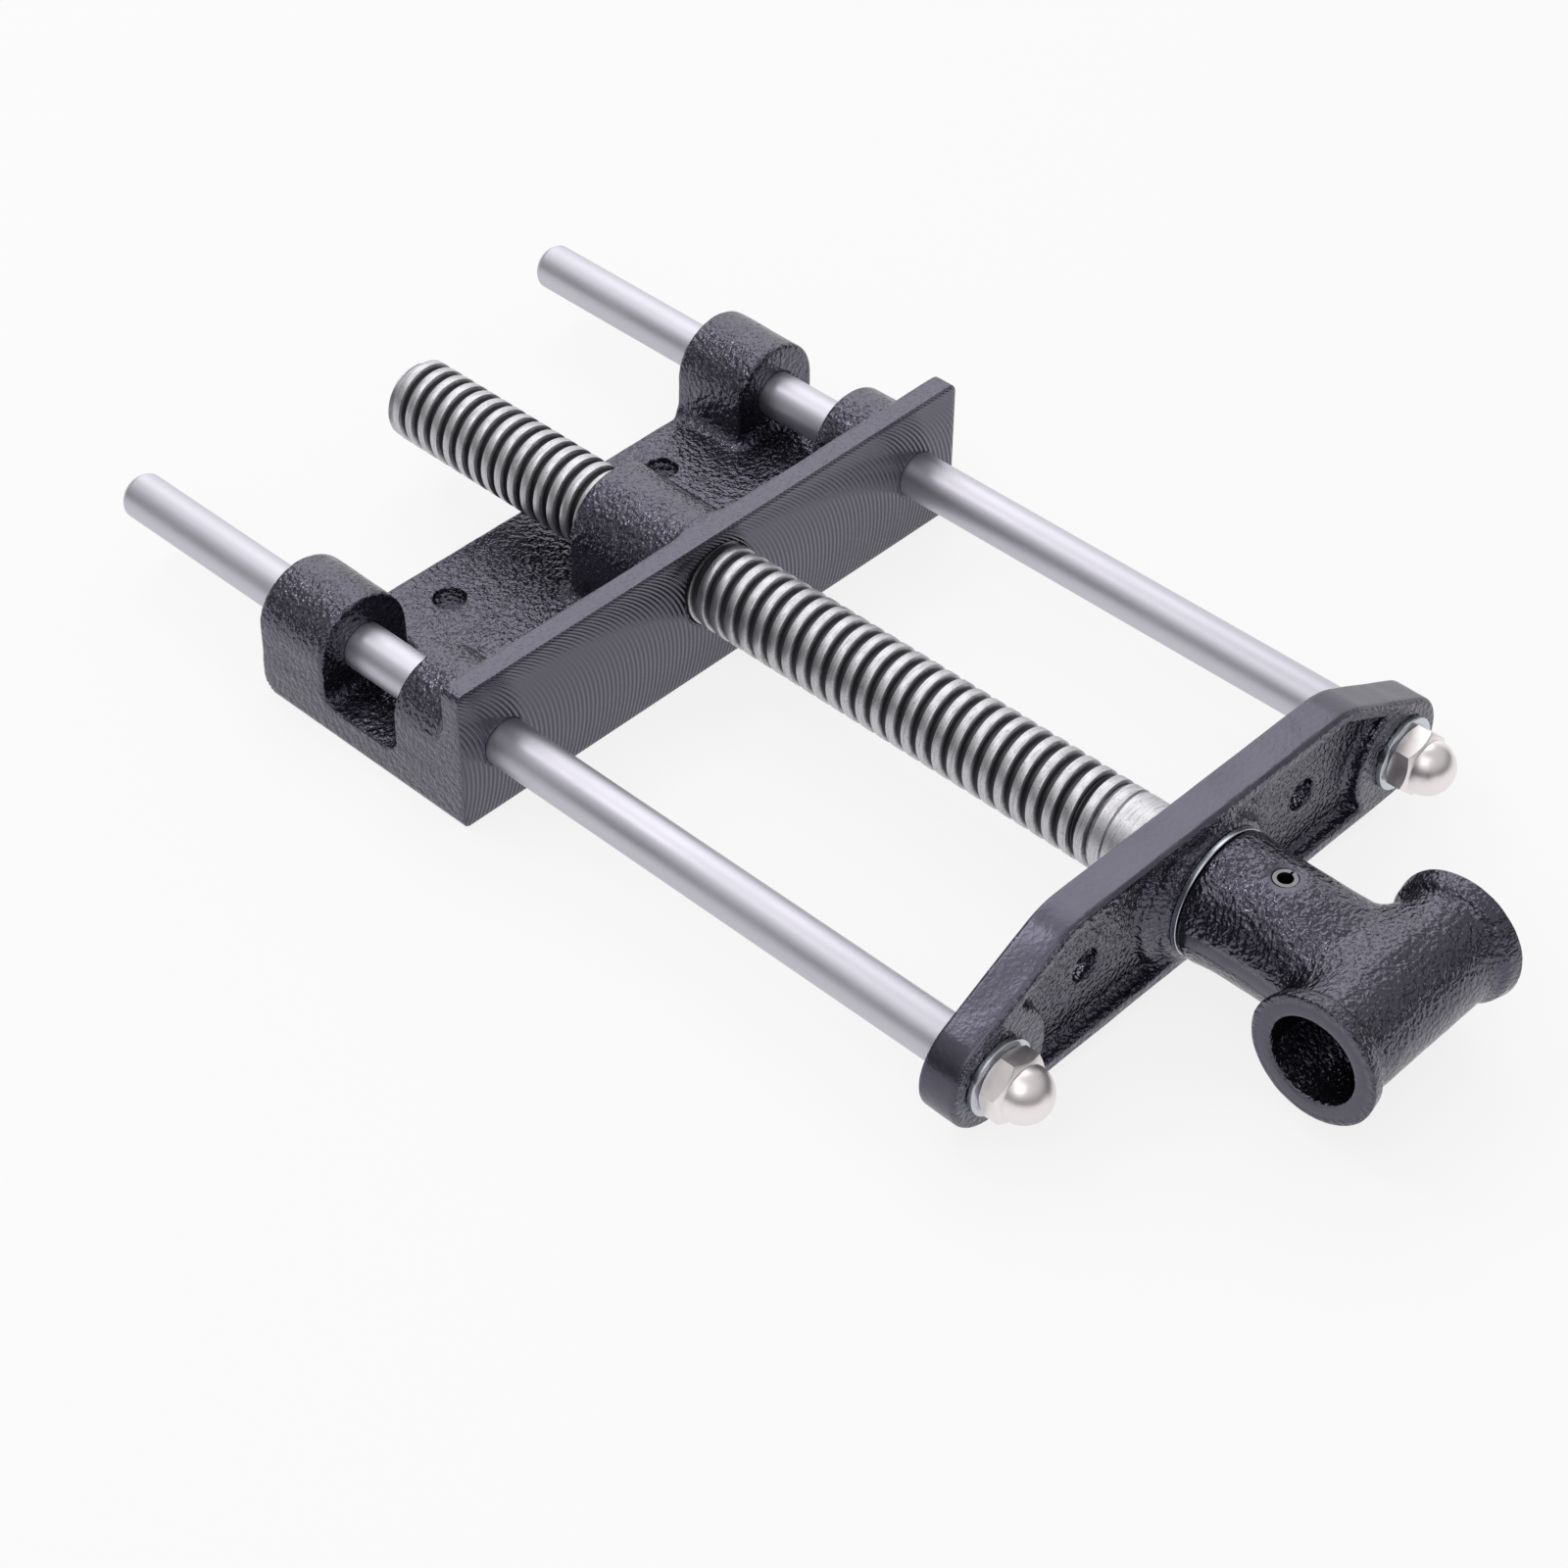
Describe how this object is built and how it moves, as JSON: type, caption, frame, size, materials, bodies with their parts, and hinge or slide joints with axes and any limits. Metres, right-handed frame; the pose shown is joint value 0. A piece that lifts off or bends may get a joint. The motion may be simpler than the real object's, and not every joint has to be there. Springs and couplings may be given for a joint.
{
  "type": "front vise screw set",
  "caption": "Woodworking front vise hardware: cast bracket, cast front jaw on guide rods, lead screw and a tee socket for a sliding handle bar.",
  "frame": {"origin": "on the bench face (the bracket's underside), midway between the two bench bolt holes", "axes": "+X across the vise towards the right rod, +Y along the screw from the jaw to the bracket, +Z away from the bench face"},
  "size_m": [0.179, 0.3704, 0.0483],
  "materials": {
    "black_casting": "black semi-gloss enamel over a bumpy sand-cast skin",
    "screw_steel": "turned bright steel with fine turning marks",
    "rod_steel": "ground satin steel",
    "washer_steel": "bright zinc plate",
    "nut_nickel": "bright nickel plate",
    "pin_steel": "dark spring steel"
  },
  "bodies": {
    "bracket": {"bracket": "black_casting"},
    "jaw": {"front_jaw": "black_casting", "guide_rod_left": "rod_steel", "guide_rod_right": "rod_steel", "rod_washer_left": "washer_steel", "rod_washer_right": "washer_steel", "cap_nut_left": "nut_nickel", "cap_nut_right": "nut_nickel"},
    "screw": {"lead_screw": "screw_steel", "handle_socket": "black_casting", "socket_pin": "pin_steel", "thrust_washer": "washer_steel"}
  },
  "joints": [
    {"name": "jaw_slide", "type": "slide", "parent": "bracket", "child": "jaw", "axis": [0, 1, 0], "range_m": [-0.065, 0.13]},
    {"name": "screw_turn", "type": "hinge", "parent": "jaw", "child": "screw", "pos_m": [0, -0.21, 0.0255], "axis": [0, 1, 0], "range_deg": [-4679, 9359]}
  ],
  "couplings": [
    {"joint": "jaw_slide", "follows": "screw_turn", "m_per_rad": 0.00079577}
  ]
}
